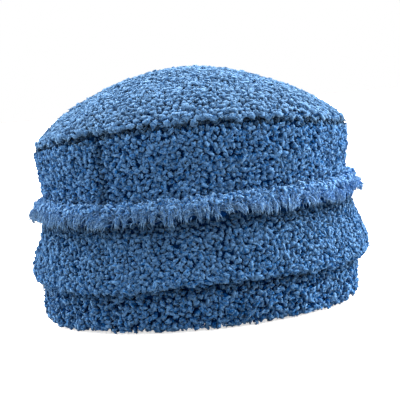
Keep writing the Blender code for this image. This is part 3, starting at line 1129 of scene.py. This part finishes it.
def place_floor(scene, settings):
    """A wide pale floor under the hem. It glows for the camera alone, and throws little light back."""
    mesh = bpy.data.meshes.new("floor")
    ways = ((-1, -1), (1, -1), (1, 1), (-1, 1))
    mesh.from_pydata([(x * FLOOR_HALF, y * FLOOR_HALF, 0) for x, y in ways], [], [(0, 1, 2, 3)])
    material = bpy.data.materials.new("floor_paper")
    material.use_nodes = True
    tree = material.node_tree
    shader = tree.nodes["Principled BSDF"]
    shader.inputs["Roughness"].default_value = 0.95
    shader.inputs["Emission Color"].default_value = (*WHITE, 1.0)
    seen = tree.nodes.new("ShaderNodeLightPath").outputs["Is Camera Ray"]
    paleness = add_range(tree, seen, to_low=settings.bounce, to_high=settings.floor)
    glow = add_range(tree, seen, to_high=settings.glow)
    tree.links.new(paleness, shader.inputs["Base Color"])
    tree.links.new(glow, shader.inputs["Emission Strength"])
    mesh.materials.append(material)
    floor = bpy.data.objects.new("floor", mesh)
    scene.collection.objects.link(floor)


def place_lights(scene, settings):
    """Soft light from above and from both sides, as in a white tent, with even fill."""
    scene.view_settings.view_transform = "Standard"
    world = bpy.data.worlds.new("studio")
    world.use_nodes = True
    tree = world.node_tree
    background = tree.nodes["Background"]
    background.inputs["Color"].default_value = (*WHITE, 1.0)
    seen = tree.nodes.new("ShaderNodeLightPath").outputs["Is Camera Ray"]
    tree.links.new(add_range(tree, seen, to_low=settings.fill), background.inputs["Strength"])
    scene.world = world
    place_soft_sun(scene, REAR, settings.rear, WHITE)
    for sun, strength in (
        (NEAR_RIGHT, settings.near_right),
        (LEFT_SIDE, settings.left),
        (RIGHT_SIDE, settings.right),
    ):
        place_soft_sun(scene, sun, strength, tuple(settings.warmth))


def place_soft_sun(scene, sun, strength, colour):
    """A wide, soft light from one direction."""
    light = bpy.data.lights.new(sun.name, "SUN")
    light.energy = strength
    light.color = colour
    light.angle = math.radians(sun.angle)
    lamp = bpy.data.objects.new(sun.name, light)
    turn = math.radians(sun.turn)
    lift = math.radians(sun.lift)
    back = Vector((math.sin(turn) * math.cos(lift), -math.cos(turn) * math.cos(lift), math.sin(lift)))
    lamp.rotation_mode = "QUATERNION"
    lamp.rotation_quaternion = back.to_track_quat("Z", "Y")
    scene.collection.objects.link(lamp)


# Settings, operators and panel


def length_setting(name, description, default, low, high):
    """A length that a user may change. Its numbers are millimetres."""
    return FloatProperty(
        name=name, description=description, default=default * MM, min=low * MM, max=high * MM, unit="LENGTH"
    )


def share_setting(name, description, default):
    """A share from 0 to 1."""
    return FloatProperty(
        name=name, description=description, default=default, min=0, max=1, subtype="FACTOR"
    )


def strength_setting(name, description, default):
    """How strong a light is."""
    return FloatProperty(name=name, description=description, default=default, min=0, max=40)


def shade_setting(default):
    """How bright one piece's pile is: painted light and shade, set per piece to even out how the lights
    fall on the pieces.
    """
    return FloatProperty(name="Shade", description="Brightness of this pile", default=default, min=0, max=2)


def colour_setting(name, description, default):
    """A colour, in linear light."""
    return FloatVectorProperty(
        name=name, description=description, default=default, min=0, max=1, subtype="COLOR"
    )


class PileSizes(bpy.types.PropertyGroup):
    """Sizes of the pile."""

    pitch: length_setting("Nub pitch", "Distance from one nub of fleece to the next", 3.25, 2.5, 12)
    depth: length_setting("Pile depth", "How far the pile stands out of the knitted back", 3.4, 1, 6)
    radius: length_setting("Nub radius", "Half the width of a nub", 1.97, 1, 6)
    height: length_setting("Nub height", "Height of a nub over the knitted back", 3.3, 1, 6)
    gather: length_setting("Gather", "How far nubs move together into clumps", 0.1, 0, 2)
    arches: share_setting("Arches", "Share of the curls that arch across their nub", 0.55)
    fuzz: length_setting("Fuzz width", "Width of a loose fibre end", 0.22, 0.05, 1)
    curl: length_setting("Curl width", "Width of a curl of yarn", 1.8, 0.2, 2)
    strands: IntProperty(
        name="Curls per nub", description="How many curls wind over each nub",
        default=4, min=1, max=6,
    )
    stray: share_setting("Stray curls", "Share of the curls that stand up out of the pile", 0.1)
    lock_pitch: length_setting(
        "Lock pitch", "Distance from one brushed lock of the tuck to the next", 5.2, 3, 20
    )
    fibre: length_setting("Fibre width", "Width of a brushed fibre of the tuck", 0.5, 0.1, 2)
    fibres: IntProperty(
        name="Fibres", description="How many brushed fibres the tuck has",
        default=8500, min=500, max=12000,
    )


class PileColours(bpy.types.PropertyGroup):
    """Colours of the pile."""

    # Root, body and tip run from the foot of the pile to its tips: the darker foot is painted shade
    root: colour_setting("Root", "Colour deep between the nubs", (0.001, 0.034, 0.165))
    body: colour_setting("Body", "Colour of a nub under its curls", (0.01, 0.091, 0.286))
    tip: colour_setting("Tip", "Colour of the curls' tops", (0.096, 0.231, 0.47))
    # Pale: a painted haze of light that the brightly lit tips of the crown and the tuck go towards
    pale: colour_setting(
        "Pale", "Colour that the tips of the crown and the tuck go towards", (0.22, 0.32, 0.4)
    )
    haze: colour_setting("Haze", "Tint of the bloom that loose fibre ends give", (0.48, 0.74, 1.0))


class StageSettings(bpy.types.PropertyGroup):
    """Floor and lights."""

    floor: share_setting("Floor", "How pale the floor looks", 0.9)
    glow: share_setting("Glow", "How bright the floor looks where nothing lights it", 0.7)
    bounce: share_setting("Bounce", "How much light the floor throws back at the hat", 0.25)
    fill: strength_setting("Fill", "Strength of the white light all round", 0.72)
    warmth: colour_setting(
        "Side light", "Colour of the lights from the left and the right", (1.0, 0.9, 0.8)
    )
    near_right: strength_setting(
        "Near right", "Strength of the soft light from the right that also reaches the front", 4.2
    )
    rear: strength_setting("Rear", "Strength of the soft light from above and behind", 5.3)
    left: strength_setting("Left", "Strength of the soft light from the left", 8.6)
    right: strength_setting("Right", "Strength of the soft light from the right", 10.3)


class HatSettings(bpy.types.PropertyGroup):
    """Everything that a user may change before the pieces are made."""

    sizes: PointerProperty(type=PileSizes)
    colours: PointerProperty(type=PileColours)
    stage: PointerProperty(type=StageSettings)


class HAT_OT_crown_tip(bpy.types.Operator):
    """Cover the domed crown with pile."""

    bl_idname = "fleece_hat.crown_tip"
    bl_label = "Crown Tip"

    # Painted shade: the crown is dyed darker against the strong light from above and behind
    shade: shade_setting(0.65)

    def execute(self, context):
        dress_in_nubs(context, "crown_tip", self.shade)
        return {"FINISHED"}


class HAT_OT_upper_band(bpy.types.Operator):
    """Cover the upper band with pile."""

    bl_idname = "fleece_hat.upper_band"
    bl_label = "Upper Band"

    shade: shade_setting(0.94)

    def execute(self, context):
        dress_in_nubs(context, "upper_band", self.shade)
        return {"FINISHED"}


class HAT_OT_upper_tuck(bpy.types.Operator):
    """Give the tuck its small nubs and brushed locks."""

    bl_idname = "fleece_hat.upper_tuck"
    bl_label = "Upper Tuck"

    shade: shade_setting(1.15)

    def execute(self, context):
        dress_tuck(context, "upper_tuck", self.shade)
        return {"FINISHED"}


class HAT_OT_middle_band(bpy.types.Operator):
    """Cover the flared middle band and its folded foot with pile."""

    bl_idname = "fleece_hat.middle_band"
    bl_label = "Middle Band"

    shade: shade_setting(0.81)

    def execute(self, context):
        dress_in_nubs(context, "middle_band", self.shade)
        return {"FINISHED"}


class HAT_OT_lower_band(bpy.types.Operator):
    """Cover the lower band and its hem with pile."""

    bl_idname = "fleece_hat.lower_band"
    bl_label = "Lower Band"

    shade: shade_setting(0.94)

    def execute(self, context):
        dress_in_nubs(context, "lower_band", self.shade)
        return {"FINISHED"}


class HAT_OT_stage(bpy.types.Operator):
    """Lay out the floor, the lights and the camera."""

    bl_idname = "fleece_hat.stage"
    bl_label = "Stage"

    def execute(self, context):
        settings = context.scene.fleece_hat.stage
        place_floor(context.scene, settings)
        place_lights(context.scene, settings)
        place_camera(context.scene)
        return {"FINISHED"}


OPERATORS = (
    HAT_OT_stage,
    HAT_OT_crown_tip,
    HAT_OT_upper_band,
    HAT_OT_upper_tuck,
    HAT_OT_middle_band,
    HAT_OT_lower_band,
)


class HAT_PT_panel(bpy.types.Panel):
    """Sidebar panel with the hat's settings and pieces."""

    bl_idname = "HAT_PT_panel"
    bl_label = "Fleece Hat"
    bl_space_type = "VIEW_3D"
    bl_region_type = "UI"
    bl_category = "Fleece Hat"

    def draw(self, context):
        settings = context.scene.fleece_hat
        for group in (settings.sizes, settings.colours, settings.stage):
            box = self.layout.box()
            for name in group.bl_rna.properties.keys():
                if name not in {"rna_type", "name"}:
                    box.prop(group, name)
        for operator in OPERATORS:
            self.layout.operator(operator.bl_idname)


CLASSES = (PileSizes, PileColours, StageSettings, HatSettings, *OPERATORS, HAT_PT_panel)


def register():
    """Adds the classes and the scene's settings."""
    for item in CLASSES:
        bpy.utils.register_class(item)
    bpy.types.Scene.fleece_hat = PointerProperty(type=HatSettings)


def unregister():
    """Removes them again."""
    del bpy.types.Scene.fleece_hat
    for item in reversed(CLASSES):
        bpy.utils.unregister_class(item)


def main():
    """Makes the stage and every piece of the hat."""
    register()
    bpy.ops.fleece_hat.stage()
    bpy.ops.fleece_hat.crown_tip()
    bpy.ops.fleece_hat.upper_band()
    bpy.ops.fleece_hat.upper_tuck()
    bpy.ops.fleece_hat.middle_band()
    bpy.ops.fleece_hat.lower_band()


if __name__ == "__main__":
    main()
